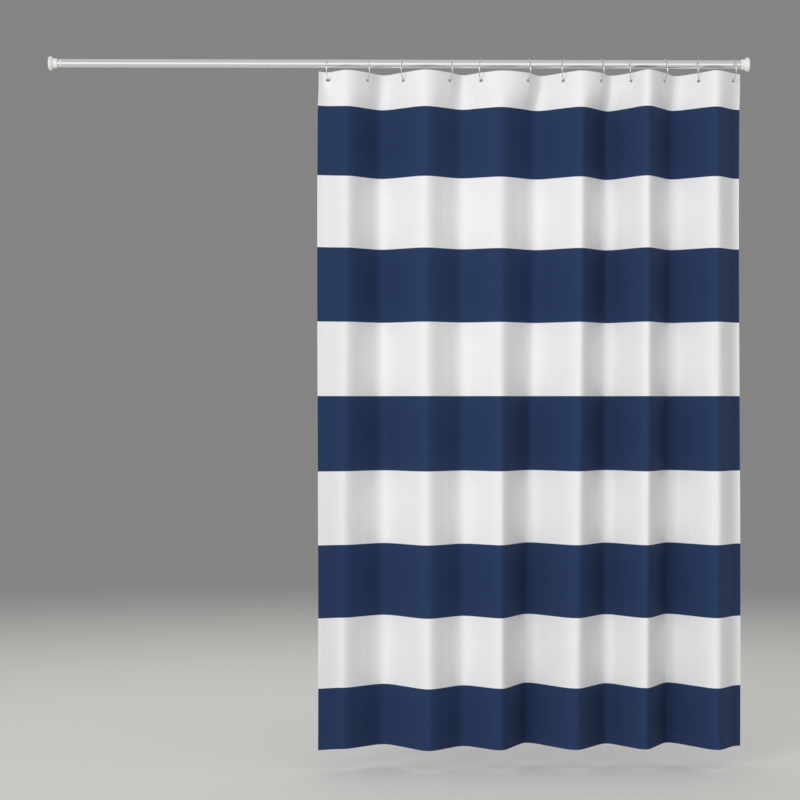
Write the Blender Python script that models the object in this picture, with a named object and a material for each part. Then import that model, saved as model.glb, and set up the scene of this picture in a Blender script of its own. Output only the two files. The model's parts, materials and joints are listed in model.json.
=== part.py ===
"""Striped fabric shower curtain, hung by twelve wire hooks on a telescoping rod.

The rod lies along X with its axis on Y = Z = 0, and the origin is the face of the right end pad,
which presses on the right-hand wall. -Y is the room side. The cloth hangs in pleats: between two
hooks it bows to the room side, between the next two to the tub side. Each cloth panel runs from one
pleat's crest to the next, through its own hook, and turns on the crests when the curtain is drawn.
"""

import math

import bmesh
import bpy
from mathutils import Vector

# ---- Driving dimensions, in metres ----------------------------------------------------------------

TOUCH = 0.0003  # gap kept between pieces that touch

ROD_SPAN = 1.900  # wall to wall
ROD_DIAMETER = 0.0222
ROD_WALL = 0.0007
TUBE_PLAY = 0.0003  # radial, between the two tubes
INNER_TUBE_LENGTH = 0.800
INNER_TUBE_WALL = 0.0007
INNER_TUBE_SHOWS = 0.007  # between the mouth ring and the left cup
MOUTH_RING_LENGTH = 0.003

PAD_DIAMETER = 0.034
PAD_THICKNESS = 0.004
PAD_RECESS = 0.002  # how deep the pad sits in the cup
PAD_CHAMFER = 0.0008
CUP_RIM = 0.0017  # the wall round the pad
CUP_WALL = 0.0026  # the wall round the tube
CUP_FLOOR = 0.003  # between the pad and the tube's end
CUP_LENGTH = 0.022
CUP_STRAIGHT = 0.0055  # the length at full diameter, before the flare narrows
CUP_FLARE = 0.0066
CUP_CHAMFER = 0.001

SPINDLE_DIAMETER = 0.008
SPINDLE_LENGTH = 0.110
SPINDLE_CHAMFER = 0.001
SPINDLE_IN_PLUG = 0.015
PLUG_SPIGOT = 0.020
PLUG_FLANGE = 0.003
LOCK_NUT_LENGTH = 0.025
LOCK_NUT_TAPER = 0.0012  # how much smaller its ends are, in radius
LOCK_NUT_TAPER_LENGTH = 0.005
LOCK_NUT_AT = 0.040  # from the inner tube's end to the nut

CURTAIN_WIDTH = 1.778  # flat
CURTAIN_DROP = 1.829
EDGE_MARGIN = 0.025  # from each side edge to the nearest buttonhole
CLOTH_THICKNESS = 0.0005
FOLD_GAP = 0.001  # between two panels, at the crest they turn on
HOOK_GAPS = (0.106, 0.096, 0.128, 0.083, 0.129, 0.095, 0.103, 0.081, 0.091, 0.093, 0.093)
END_HOOK_TO_WALL = 0.045
MARGIN_ANGLE = math.radians(20)  # the side edges' angle to the rod

HOOK_DIAMETER = 0.058  # outside
HOOK_WIRE = 0.0025
HOOK_TIP = 0.0046  # ball on each end of the wire
HOOK_TWIST = math.radians(11)
HOOK_OPENING = (-35, 30)  # the open part of the ring, in degrees above the horizontal at its back
HEADER_ABOVE_HOLE = 0.0180  # from the curtain's top edge to the buttonhole
BUTTONHOLE_LENGTH = 0.012

GATHER_MOST = math.radians(22)
HOOK_FOLLOWS = 0.3  # the share of its panel's turn that a hook makes

ROUND_STEPS = 40
WIRE_STEPS = 8
ARC_STEPS = 24
TIP_STEPS = 4
BOW_STEPS = 8  # straight facets in half a pleat

# ---- What follows from them ------------------------------------------------------------------------

HOOK_COUNT = len(HOOK_GAPS) + 1
BUTTONHOLE_PITCH = (CURTAIN_WIDTH - 2 * EDGE_MARGIN) / (HOOK_COUNT - 1)

ROD_RADIUS = ROD_DIAMETER / 2
INNER_TUBE_RADIUS = ROD_RADIUS - ROD_WALL - TUBE_PLAY
CUP_FACE = PAD_THICKNESS - PAD_RECESS  # from the wall
CUP_RECESS_FLOOR = PAD_THICKNESS + TOUCH
SOCKET_FLOOR = CUP_RECESS_FLOOR + CUP_FLOOR
CUP_MOUTH = CUP_FACE + CUP_LENGTH
TUBE_END = SOCKET_FLOOR + TOUCH

MOUTH_RING_X = -ROD_SPAN + CUP_MOUTH + INNER_TUBE_SHOWS
OUTER_TUBE_X = (MOUTH_RING_X + MOUTH_RING_LENGTH + TOUCH, -TUBE_END)
INNER_TUBE_X = (-ROD_SPAN + TUBE_END, -ROD_SPAN + TUBE_END + INNER_TUBE_LENGTH)

HOOK_RADIUS = (HOOK_DIAMETER - HOOK_WIRE) / 2
HOOK_TOP_Z = ROD_RADIUS + TOUCH + HOOK_WIRE / 2
HOOK_CENTRE_Z = HOOK_TOP_Z - HOOK_RADIUS
BUTTONHOLE_TOP_Z = HOOK_CENTRE_Z - HOOK_RADIUS + HOOK_WIRE / 2 + TOUCH
CURTAIN_TOP_Z = BUTTONHOLE_TOP_Z + HEADER_ABOVE_HOLE
CURTAIN_BOTTOM_Z = CURTAIN_TOP_Z - CURTAIN_DROP

HOOK_X = [-END_HOOK_TO_WALL - sum(HOOK_GAPS[i:]) for i in range(HOOK_COUNT)]
CREST_X = [(a + b) / 2 for a, b in zip(HOOK_X, HOOK_X[1:])]


def side_of(bow):
    """-1 where a pleat bows to the room side, 1 where it bows to the tub side. Bow 1 is after hook 1."""
    return -1 if bow % 2 else 1


def line_length(points):
    return sum(math.dist(a, b) for a, b in zip(points, points[1:]))


def root_between(low, high, wanted, measure):
    """The value between low and high at which a growing measure reaches wanted."""
    for _ in range(50):
        middle = (low + high) / 2
        if measure(middle) < wanted:
            low = middle
        else:
            high = middle
    return (low + high) / 2


def half_bow(width, depth, slope, trim=0.0):
    """Half a pleat, from its hook at the origin to its crest, where it runs along the rod."""
    points = []
    for i in range(BOW_STEPS + 1):
        t = i / BOW_STEPS * (1 - trim / width)
        rise = depth * t * t * (3 - 2 * t) + slope * width * t * (1 - t) ** 2
        points.append((width * t, rise))
    return points


def free_steepness(gap):
    """The angle to the rod at which cloth of one buttonhole pitch leaves its hook, as a half sine."""

    def length(depth):
        return line_length(
            [(gap * i / 40, depth * math.sin(math.pi * i / 40)) for i in range(41)]
        )

    depth = root_between(0, gap, BUTTONHOLE_PITCH, length)
    return math.atan(math.pi * depth / gap)


def hook_angles():
    """The cloth's angle to the rod at each hook: the mean of what the pleats on its two sides would take."""
    free = [MARGIN_ANGLE] + [free_steepness(gap) for gap in HOOK_GAPS] + [MARGIN_ANGLE]
    return [(a + b) / 2 for a, b in zip(free, free[1:])]


HOOK_ANGLE = hook_angles()


def crest_depth(bow):
    """How far a pleat stands off the rod's axis, so that it holds one buttonhole pitch of cloth."""
    width = HOOK_GAPS[bow - 1] / 2
    slopes = [math.tan(HOOK_ANGLE[bow - 1]), math.tan(HOOK_ANGLE[bow])]

    def length(depth):
        return sum(line_length(half_bow(width, depth, slope)) for slope in slopes)

    return root_between(0, BUTTONHOLE_PITCH, BUTTONHOLE_PITCH, length)


CREST_DEPTH = [crest_depth(bow) for bow in range(1, HOOK_COUNT)]


def buttonhole_width():
    """Wide enough for the wire at the most slanting angle that any panel takes to its hook."""
    most = max(HOOK_ANGLE) - HOOK_TWIST + GATHER_MOST * (1 - HOOK_FOLLOWS)
    return (HOOK_WIRE + CLOTH_THICKNESS * math.sin(most)) / math.cos(most) + 2 * TOUCH


BUTTONHOLE_WIDTH = buttonhole_width()


# ---- Tools for making solids -----------------------------------------------------------------------


def clear_scene():
    for old in list(bpy.data.objects):
        bpy.data.objects.remove(old)


def material(name, colour, roughness, metallic=0.0):
    made = bpy.data.materials.new(name)
    made.use_nodes = True
    shader = made.node_tree.nodes["Principled BSDF"]
    shader.inputs["Base Color"].default_value = (*colour, 1)
    shader.inputs["Roughness"].default_value = roughness
    shader.inputs["Metallic"].default_value = metallic
    return made


def add_object(name, bm, finish, location=(0, 0, 0), turn=0.0, smooth=True):
    """An object from a bmesh, which is freed. turn is about the vertical, in radians."""
    bmesh.ops.recalc_face_normals(bm, faces=bm.faces)
    mesh = bpy.data.meshes.new(name)
    bm.to_mesh(mesh)
    bm.free()
    if smooth:
        mesh.shade_smooth()
        mesh.set_sharp_from_angle(angle=math.radians(35))
    mesh.materials.append(finish)
    obj = bpy.data.objects.new(name, mesh)
    obj.location = location
    obj.rotation_euler.z = turn
    bpy.context.scene.collection.objects.link(obj)
    return obj


def bridge_rings(bm, rings, closed=False):
    """Faces between rings of vertices. A ring of one vertex is a point."""
    pairs = list(zip(rings, rings[1:]))
    if closed:
        pairs.append((rings[-1], rings[0]))
    for a, b in pairs:
        for i in range(max(len(a), len(b))):
            corners = [
                a[i % len(a)],
                a[(i + 1) % len(a)],
                b[(i + 1) % len(b)],
                b[i % len(b)],
            ]
            bm.faces.new(list(dict.fromkeys(corners)))


def turned(name, outline, finish, mirror_about=None):
    """A piece turned about the rod's axis. outline is its half section, as (x, radius) in order round it.

    An outline that starts and ends on the axis is solid, and any other is a ring. mirror_about is the
    x of the plane that the outline is mirrored in.
    """
    bm = bmesh.new()
    rings = []
    for x, radius in outline:
        if mirror_about is not None:
            x = 2 * mirror_about - x
        steps = ROUND_STEPS if radius > 0 else 1
        angles = [2 * math.pi * i / steps for i in range(steps)]
        rings.append(
            [bm.verts.new((x, radius * math.cos(a), radius * math.sin(a))) for a in angles]
        )
    bridge_rings(bm, rings, closed=outline[0][1] > 0)
    return add_object(name, bm, finish)


def tube(name, ends, outer_radius, inner_radius, finish):
    low, high = ends
    outline = [(low, inner_radius), (low, outer_radius), (high, outer_radius), (high, inner_radius)]
    return turned(name, outline, finish)


# ---- The rod -----------------------------------------------------------------------------------------


def wall_cup(name, tube_radius, finish, mirror_about=None):
    """The moulded cup on a rod end: a recess for the rubber pad, a floor, and a socket for the tube."""
    pad_seat = PAD_DIAMETER / 2 + TOUCH
    face_radius = pad_seat + CUP_RIM
    socket = tube_radius + TOUCH
    neck_radius = socket + CUP_WALL
    straight_end = CUP_FACE + CUP_STRAIGHT
    outline = [
        (-CUP_RECESS_FLOOR, 0),
        (-CUP_RECESS_FLOOR, pad_seat),
        (-CUP_FACE, pad_seat),
        (-CUP_FACE, face_radius - CUP_CHAMFER),
        (-CUP_FACE - CUP_CHAMFER, face_radius),
        (-straight_end, face_radius),
        (-straight_end - CUP_FLARE, neck_radius),
        (-CUP_MOUTH + CUP_CHAMFER, neck_radius),
        (-CUP_MOUTH, neck_radius - CUP_CHAMFER),
        (-CUP_MOUTH, socket),
        (-SOCKET_FLOOR, socket),
        (-SOCKET_FLOOR, 0),
    ]
    return turned(name, outline, finish, mirror_about)


def wall_pad(name, finish, mirror_about=None):
    """The rubber disc that presses on the wall."""
    radius = PAD_DIAMETER / 2
    outline = [
        (0, 0),
        (0, radius - PAD_CHAMFER),
        (-PAD_CHAMFER, radius),
        (-PAD_THICKNESS, radius),
        (-PAD_THICKNESS, 0),
    ]
    return turned(name, outline, finish, mirror_about)


def make_inner_end(plastic, steel):
    """The jack screw in the inner tube's end: a plug, the spindle it holds, and the nut that grips."""
    end = INNER_TUBE_X[1]
    bore = INNER_TUBE_RADIUS - INNER_TUBE_WALL
    spindle_radius = SPINDLE_DIAMETER / 2
    spindle_bore = spindle_radius + TOUCH
    flange = end + TOUCH
    plug = [
        (end - PLUG_SPIGOT, spindle_bore),
        (end - PLUG_SPIGOT, bore - TOUCH),
        (flange, bore - TOUCH),
        (flange, INNER_TUBE_RADIUS),
        (flange + PLUG_FLANGE, INNER_TUBE_RADIUS),
        (flange + PLUG_FLANGE, spindle_bore),
    ]
    turned("rod_inner_plug", plug, plastic)

    start = end - SPINDLE_IN_PLUG
    stop = start + SPINDLE_LENGTH
    spindle = [
        (start, 0),
        (start, spindle_radius),
        (stop - SPINDLE_CHAMFER, spindle_radius),
        (stop, spindle_radius - SPINDLE_CHAMFER),
        (stop, 0),
    ]
    turned("rod_spindle", spindle, steel)

    near = end + LOCK_NUT_AT
    far = near + LOCK_NUT_LENGTH
    grip = ROD_RADIUS - ROD_WALL - TOUCH
    nut = [
        (near, spindle_bore),
        (near, grip - LOCK_NUT_TAPER),
        (near + LOCK_NUT_TAPER_LENGTH, grip),
        (far - LOCK_NUT_TAPER_LENGTH, grip),
        (far, grip - LOCK_NUT_TAPER),
        (far, spindle_bore),
    ]
    turned("rod_lock_nut", nut, plastic)


def make_rod(chrome, plastic, rubber, steel):
    tube("rod_outer_tube", OUTER_TUBE_X, ROD_RADIUS, ROD_RADIUS - ROD_WALL, chrome)
    ring = (MOUTH_RING_X, MOUTH_RING_X + MOUTH_RING_LENGTH)
    tube("rod_mouth_ring", ring, ROD_RADIUS, INNER_TUBE_RADIUS + TUBE_PLAY, plastic)
    wall_cup("wall_cup_right", ROD_RADIUS, plastic)
    wall_pad("wall_pad_right", rubber)

    bore = INNER_TUBE_RADIUS - INNER_TUBE_WALL
    tube("rod_inner_tube", INNER_TUBE_X, INNER_TUBE_RADIUS, bore, chrome)
    middle = -ROD_SPAN / 2
    wall_cup("wall_cup_left", INNER_TUBE_RADIUS, plastic, mirror_about=middle)
    wall_pad("wall_pad_left", rubber, mirror_about=middle)
    make_inner_end(plastic, steel)


# ---- The hooks ---------------------------------------------------------------------------------------


def hook_stations():
    """(angle round the ring, wire radius) from the upper tip over the rod to the lower tip."""
    first = math.radians(HOOK_OPENING[1])
    last = 2 * math.pi + math.radians(HOOK_OPENING[0])
    wire = HOOK_WIRE / 2
    ball = HOOK_TIP / 2
    meeting = math.asin(wire / ball)  # where the wire leaves the ball, from the wire's line
    tip = []
    for i in range(TIP_STEPS + 1):
        a = math.pi + (meeting - math.pi) * i / TIP_STEPS
        tip.append((ball * math.cos(a) / HOOK_RADIUS, 0 if i == 0 else ball * math.sin(a)))
    neck = tip[-1][0]
    stations = [(first + along, radius) for along, radius in tip]
    for i in range(1, ARC_STEPS):
        stations.append((first + neck + (last - first - 2 * neck) * i / ARC_STEPS, wire))
    stations += [(last - along, radius) for along, radius in reversed(tip)]
    return stations


def make_hook(number, chrome):
    """An open wire ring that lies over the rod and through a buttonhole, open at its back."""
    bm = bmesh.new()
    rings = []
    for angle, radius in hook_stations():
        out = Vector((0, math.cos(angle), math.sin(angle)))
        centre = Vector((0, 0, HOOK_CENTRE_Z)) + out * HOOK_RADIUS
        if radius == 0:
            rings.append([bm.verts.new(centre)])
            continue
        ring = []
        for i in range(WIRE_STEPS):
            a = 2 * math.pi * (i + 0.5) / WIRE_STEPS
            across = out * math.cos(a) + Vector((math.sin(a), 0, 0))
            ring.append(bm.verts.new(centre + across * radius))
        rings.append(ring)
    bridge_rings(bm, rings)
    turn = HOOK_TWIST * side_of(number)
    add_object(f"hook_{number:02d}", bm, chrome, (HOOK_X[number - 1], 0, 0), turn)


# ---- The cloth ---------------------------------------------------------------------------------------


def margin_line(angle):
    """The free edge beyond an end hook, which eases from the hook's angle to MARGIN_ANGLE."""
    x, y = 0.0, 0.0
    points = [(x, y)]
    step = EDGE_MARGIN / BOW_STEPS
    for i in range(BOW_STEPS):
        a = angle + (MARGIN_ANGLE - angle) * (i + 0.5) / BOW_STEPS
        x, y = x + step * math.cos(a), y + step * math.sin(a)
        points.append((x, y))
    return points


def panel_line(number):
    """The middle of one panel's cloth seen from above, left to right, from its hook's place."""
    angle = HOOK_ANGLE[number - 1]
    halves = []
    for bow in (number - 1, number):
        if 1 <= bow < HOOK_COUNT:
            width = HOOK_GAPS[bow - 1] / 2
            depth = CREST_DEPTH[bow - 1]
            half = half_bow(width, depth, math.tan(angle), FOLD_GAP / 2)
        else:
            half = margin_line(angle)
        halves.append([(x, side_of(bow) * y) for x, y in half])
    left = [(-x, y) for x, y in reversed(halves[0][1:])]
    return left + halves[1]


def offset_line(points, distance):
    """The line moved sideways by distance, to its left seen from above."""
    moved = []
    for i, (x, y) in enumerate(points):
        before = Vector(points[max(i - 1, 0)])
        after = Vector(points[min(i + 1, len(points) - 1)])
        along = (after - before).normalized()
        moved.append((x - along.y * distance, y + along.x * distance))
    return moved


def buttonhole_cutter(number):
    angle = -side_of(number - 1) * HOOK_ANGLE[number - 1]
    bm = bmesh.new()
    bmesh.ops.create_cube(bm, size=1)
    size = (BUTTONHOLE_WIDTH, 2 * BUTTONHOLE_WIDTH, BUTTONHOLE_LENGTH)
    bmesh.ops.scale(bm, vec=size, verts=bm.verts)
    mesh = bpy.data.meshes.new("buttonhole")
    bm.to_mesh(mesh)
    bm.free()
    cutter = bpy.data.objects.new(f"buttonhole_{number:02d}", mesh)
    cutter.location = (HOOK_X[number - 1], 0, BUTTONHOLE_TOP_Z - BUTTONHOLE_LENGTH / 2)
    cutter.rotation_euler.z = angle
    cutter.hide_render = True
    cutter.display_type = "WIRE"
    bpy.context.scene.collection.objects.link(cutter)
    return cutter


def make_panel(number, cloth):
    """One panel of the curtain, the same section from top to bottom, with its buttonhole."""
    middle = panel_line(number)
    outline = offset_line(middle, CLOTH_THICKNESS / 2)
    outline += reversed(offset_line(middle, -CLOTH_THICKNESS / 2))
    bm = bmesh.new()
    ends = []
    for z in (CURTAIN_BOTTOM_Z, CURTAIN_TOP_Z):
        ends.append([bm.verts.new((x, y, z)) for x, y in outline])
    bridge_rings(bm, ends)
    for ring in ends:
        for i in range(len(middle) - 1):
            j = len(ring) - 1 - i
            bm.faces.new((ring[i], ring[i + 1], ring[j - 1], ring[j]))
    name = f"cloth_panel_{number:02d}"
    panel = add_object(name, bm, cloth, (HOOK_X[number - 1], 0, 0))
    cut = panel.modifiers.new("buttonhole", "BOOLEAN")
    cut.operation = "DIFFERENCE"
    cut.solver = "EXACT"
    cut.object = buttonhole_cutter(number)


# ---- The whole object --------------------------------------------------------------------------------


def main():
    clear_scene()
    chrome = material("chrome", (0.86, 0.86, 0.87), 0.12, 1.0)
    steel = material("zinc_steel", (0.55, 0.56, 0.58), 0.35, 1.0)
    plastic = material("white_plastic", (0.80, 0.80, 0.78), 0.45)
    rubber = material("rubber", (0.62, 0.62, 0.60), 0.85)
    cloth = material("cloth", (0.88, 0.88, 0.88), 0.80)
    make_rod(chrome, plastic, rubber, steel)
    for number in range(1, HOOK_COUNT + 1):
        make_hook(number, chrome)
        make_panel(number, cloth)


main()
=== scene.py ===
"""The looks of a striped fabric shower curtain on its telescoping rod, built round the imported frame.

The file follows the object as it is put together: the rod, its wall ends, the hooks, the cloth, the
sewing, and at the end the studio that it stands in. All lengths are in metres.
"""

import json
import math

import bpy
import numpy as np
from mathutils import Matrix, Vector


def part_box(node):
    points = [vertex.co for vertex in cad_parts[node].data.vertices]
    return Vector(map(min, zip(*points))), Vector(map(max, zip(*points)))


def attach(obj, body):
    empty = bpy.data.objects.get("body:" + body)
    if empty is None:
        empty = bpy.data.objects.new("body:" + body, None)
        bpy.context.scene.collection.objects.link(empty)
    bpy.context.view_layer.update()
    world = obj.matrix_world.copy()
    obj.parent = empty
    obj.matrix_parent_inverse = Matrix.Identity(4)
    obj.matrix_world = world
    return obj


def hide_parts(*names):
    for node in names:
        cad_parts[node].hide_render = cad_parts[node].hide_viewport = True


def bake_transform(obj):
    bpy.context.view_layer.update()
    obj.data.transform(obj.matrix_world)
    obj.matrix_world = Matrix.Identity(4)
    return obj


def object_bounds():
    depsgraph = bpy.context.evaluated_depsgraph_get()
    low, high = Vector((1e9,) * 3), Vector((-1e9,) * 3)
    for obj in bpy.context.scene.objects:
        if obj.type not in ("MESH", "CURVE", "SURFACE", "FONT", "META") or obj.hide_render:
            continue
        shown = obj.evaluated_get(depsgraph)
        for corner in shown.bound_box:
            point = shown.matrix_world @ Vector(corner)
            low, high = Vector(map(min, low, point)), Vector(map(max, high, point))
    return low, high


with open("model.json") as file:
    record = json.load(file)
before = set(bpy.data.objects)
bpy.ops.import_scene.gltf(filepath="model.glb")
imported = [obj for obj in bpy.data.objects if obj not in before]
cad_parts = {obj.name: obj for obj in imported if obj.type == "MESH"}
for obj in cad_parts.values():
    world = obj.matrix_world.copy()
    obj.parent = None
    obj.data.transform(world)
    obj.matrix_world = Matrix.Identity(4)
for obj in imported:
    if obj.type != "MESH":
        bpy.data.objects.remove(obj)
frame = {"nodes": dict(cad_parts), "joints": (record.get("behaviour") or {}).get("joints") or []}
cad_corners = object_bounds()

# ---- The rod's two tubes -------------------------------------------------------------------------------
# Two thin-walled steel tubes, chromed and polished, the smaller sliding in the larger. They are the CAD
# tubes themselves. Polishing leaves faint lines along them, and hands leave dull smears.


def place(tree, kind, inputs=None, **settings):
    """A node with its settings, and its inputs given as values or as other nodes' outputs."""
    made = tree.nodes.new(kind)
    for name, value in settings.items():
        setattr(made, name, value)
    for socket, value in (inputs or {}).items():
        if isinstance(value, bpy.types.NodeSocket):
            tree.links.new(value, made.inputs[socket])
        else:
            made.inputs[socket].default_value = value
    return made


def noise(tree, vector, scale, detail):
    """The strength of a noise at each place, as an output."""
    made = place(tree, "ShaderNodeTexNoise", {"Vector": vector, "Scale": scale, "Detail": detail})
    return made.outputs["Fac"]


def mixed_colours(tree, share, first, second):
    """A colour between two, as an output. Each is three values or another node's output."""
    ends = [c if isinstance(c, bpy.types.NodeSocket) else (*c, 1.0) for c in (first, second)]
    made = place(tree, "ShaderNodeMix", {0: share, 6: ends[0], 7: ends[1]}, data_type="RGBA")
    return made.outputs[2]


def raise_surface(tree, shader, height, strength, depth):
    """Gives a finish the relief of a height pattern, with its real depth."""
    bump = place(tree, "ShaderNodeBump", {"Height": height, "Strength": strength, "Distance": depth})
    tree.links.new(bump.outputs[0], shader.inputs["Normal"])


def sockets(tree, inputs, outputs):
    """Gives a node group its named inputs and outputs, and returns its two end nodes."""
    for name, kind, value in inputs:
        socket = tree.interface.new_socket(name=name, in_out="INPUT", socket_type=kind)
        if value is not None:
            socket.default_value = value
    for name, kind in outputs:
        tree.interface.new_socket(name=name, in_out="OUTPUT", socket_type=kind)
    return tree.nodes.new("NodeGroupInput"), tree.nodes.new("NodeGroupOutput")


def blank_finish(name, **values):
    """A material whose shader has these plain values, by socket name with _ for each space."""
    material = bpy.data.materials.new(name)
    material.use_nodes = True
    shader = material.node_tree.nodes["Principled BSDF"]
    for socket, value in values.items():
        shader.inputs[socket.replace("_", " ")].default_value = value
    return material, material.node_tree, shader


def wear_group():
    """Fine lines from polishing and drawing, and the dull smears that handling leaves."""
    tree = bpy.data.node_groups.new("metal_wear", "ShaderNodeTree")
    start, end = sockets(
        tree,
        [
            ("Vector", "NodeSocketVector", None),
            ("Line Scale", "NodeSocketFloat", 2600.0),
            ("Smear Scale", "NodeSocketFloat", 22.0),
            ("Polish", "NodeSocketFloat", 0.05),
            ("Dullest", "NodeSocketFloat", 0.16),
        ],
        [("Roughness", "NodeSocketFloat"), ("Height", "NodeSocketFloat"), ("Smear", "NodeSocketFloat")],
    )
    given = start.outputs
    lines = noise(tree, given["Vector"], given["Line Scale"], 1.0)
    smears = noise(tree, given["Vector"], given["Smear Scale"], 5.0)
    smear = place(
        tree,
        "ShaderNodeMapRange",
        {0: smears, 1: 0.48, 2: 0.72, 3: 0.0, 4: 1.0},
        interpolation_type="SMOOTHSTEP",
    )
    rough = place(
        tree,
        "ShaderNodeMapRange",
        {0: smear.outputs[0], 1: 0.0, 2: 1.0, 3: given["Polish"], 4: given["Dullest"]},
    )
    tree.links.new(rough.outputs[0], end.inputs["Roughness"])
    tree.links.new(lines, end.inputs["Height"])
    tree.links.new(smear.outputs[0], end.inputs["Smear"])
    return tree


metal_wear = wear_group()


def metal_finish(name, colour, dulled, along, line_scale, polish, dullest, depth):
    """A plated metal: its clean colour, its colour where smeared, and how far the lines are drawn out."""
    material, tree, shader = blank_finish(name, Metallic=1.0)
    where = place(tree, "ShaderNodeTexCoord")
    drawn = place(tree, "ShaderNodeMapping", {"Vector": where.outputs["Object"], "Scale": along})
    wear = place(
        tree,
        "ShaderNodeGroup",
        {"Vector": drawn.outputs[0], "Line Scale": line_scale, "Polish": polish, "Dullest": dullest},
        node_tree=metal_wear,
    )
    colours = mixed_colours(tree, wear.outputs["Smear"], colour, dulled)
    tree.links.new(colours, shader.inputs["Base Color"])
    tree.links.new(wear.outputs["Roughness"], shader.inputs["Roughness"])
    raise_surface(tree, shader, wear.outputs["Height"], strength=0.25, depth=depth)
    return material


rod_chrome = metal_finish(
    "polished_chrome",
    colour=(0.86, 0.86, 0.87),
    dulled=(0.78, 0.78, 0.79),
    along=(0.03, 1.0, 1.0),
    line_scale=2600.0,
    polish=0.10,
    dullest=0.18,
    depth=0.00002,
)
for tube in ("rod_outer_tube", "rod_inner_tube"):
    frame["nodes"][tube].material_slots[0].material = rod_chrome

# ---- The jack screw ------------------------------------------------------------------------------------
# A zinc-plated steel screw inside the tubes, with a rolled thread. Turning the inner tube drives it
# through the lock nut, which presses the rod's two ends against the walls.

THREAD_PITCH = 0.00125
WAVES_PER_SCALE = 20 / (2 * math.pi)  # bands in a metre that a wave texture of scale 1 draws

spindle_zinc = metal_finish(
    "zinc_plate",
    colour=(0.55, 0.56, 0.58),
    dulled=(0.46, 0.46, 0.45),
    along=(1.0, 1.0, 1.0),
    line_scale=900.0,
    polish=0.28,
    dullest=0.45,
    depth=0.00003,
)
zinc = spindle_zinc.node_tree
thread = place(
    zinc,
    "ShaderNodeTexWave",
    {"Scale": 1 / (THREAD_PITCH * WAVES_PER_SCALE), "Distortion": 0.0},
    wave_type="BANDS",
    bands_direction="X",
    wave_profile="TRI",
)
zinc.links.new(place(zinc, "ShaderNodeTexCoord").outputs["Object"], thread.inputs["Vector"])
thread_bump = place(
    zinc,
    "ShaderNodeBump",
    {"Height": thread.outputs["Fac"], "Strength": 0.9, "Distance": 0.0004},
)
zinc_shader = zinc.nodes["Principled BSDF"]
zinc.links.new(zinc_shader.inputs["Normal"].links[0].from_socket, thread_bump.inputs["Normal"])
zinc.links.new(thread_bump.outputs[0], zinc_shader.inputs["Normal"])
frame["nodes"]["rod_spindle"].material_slots[0].material = spindle_zinc

# ---- The plastic ends, ring, plug and nut --------------------------------------------------------------
# Two cups that take the tubes' ends at the walls, a ring that closes the larger tube's mouth, and the
# screw's plug and nut. They are moulded in white polypropylene, with the mould's fine satin texture.


def mould_group():
    """The fine texture a mould leaves, and the slight unevenness of a moulded piece's colour."""
    tree = bpy.data.node_groups.new("mould_texture", "ShaderNodeTree")
    start, end = sockets(
        tree,
        [
            ("Vector", "NodeSocketVector", None),
            ("Grain Scale", "NodeSocketFloat", 2200.0),
            ("Tone Scale", "NodeSocketFloat", 45.0),
        ],
        [("Height", "NodeSocketFloat"), ("Tone", "NodeSocketFloat")],
    )
    given = start.outputs
    grain = noise(tree, given["Vector"], given["Grain Scale"], 2.0)
    tone = noise(tree, given["Vector"], given["Tone Scale"], 3.0)
    tree.links.new(grain, end.inputs["Height"])
    tree.links.new(tone, end.inputs["Tone"])
    return tree


mould_texture = mould_group()


def moulded_finish(name, darker, lighter, roughness, grain_scale, depth):
    """A moulded plastic or rubber, between two close tones of its colour."""
    material, tree, shader = blank_finish(name, Roughness=roughness)
    where = place(tree, "ShaderNodeTexCoord")
    texture = place(
        tree,
        "ShaderNodeGroup",
        {"Vector": where.outputs["Object"], "Grain Scale": grain_scale},
        node_tree=mould_texture,
    )
    colours = mixed_colours(tree, texture.outputs["Tone"], darker, lighter)
    tree.links.new(colours, shader.inputs["Base Color"])
    raise_surface(tree, shader, texture.outputs["Height"], strength=0.5, depth=depth)
    return material


white_plastic = moulded_finish(
    "white_moulding",
    darker=(0.74, 0.74, 0.72),
    lighter=(0.84, 0.84, 0.82),
    roughness=0.36,
    grain_scale=2200.0,
    depth=0.00003,
)
for moulding in ("wall_cup_left", "wall_cup_right", "rod_mouth_ring", "rod_inner_plug", "rod_lock_nut"):
    frame["nodes"][moulding].material_slots[0].material = white_plastic

# ---- The wall pads -------------------------------------------------------------------------------------
# A disc of soft grey rubber in each cup's face, pressed in. It grips the wall. Its surface is matt and
# slightly pitted.

pad_rubber = moulded_finish(
    "pad_rubber",
    darker=(0.50, 0.50, 0.48),
    lighter=(0.62, 0.62, 0.60),
    roughness=0.78,
    grain_scale=1300.0,
    depth=0.00006,
)
for pad in ("wall_pad_left", "wall_pad_right"):
    frame["nodes"][pad].material_slots[0].material = pad_rubber

# ---- The twelve hooks ----------------------------------------------------------------------------------
# Open rings of round steel wire, bent on a former, with a ball formed on each end so that the cloth
# isn't torn, then chromed. Each lies over the rod and goes through one buttonhole, open at the back.

HOOK_COUNT = 12
HOOK_WIRE = 0.0025
HOOK_BALL = 0.0046
HOOK_TWIST = math.radians(11)  # the hooks hang turned a little, left and right by turns
OPEN_FROM = math.radians(-35)  # the gap at a ring's back, as angles above the level of its middle
OPEN_TO = math.radians(30)


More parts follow.
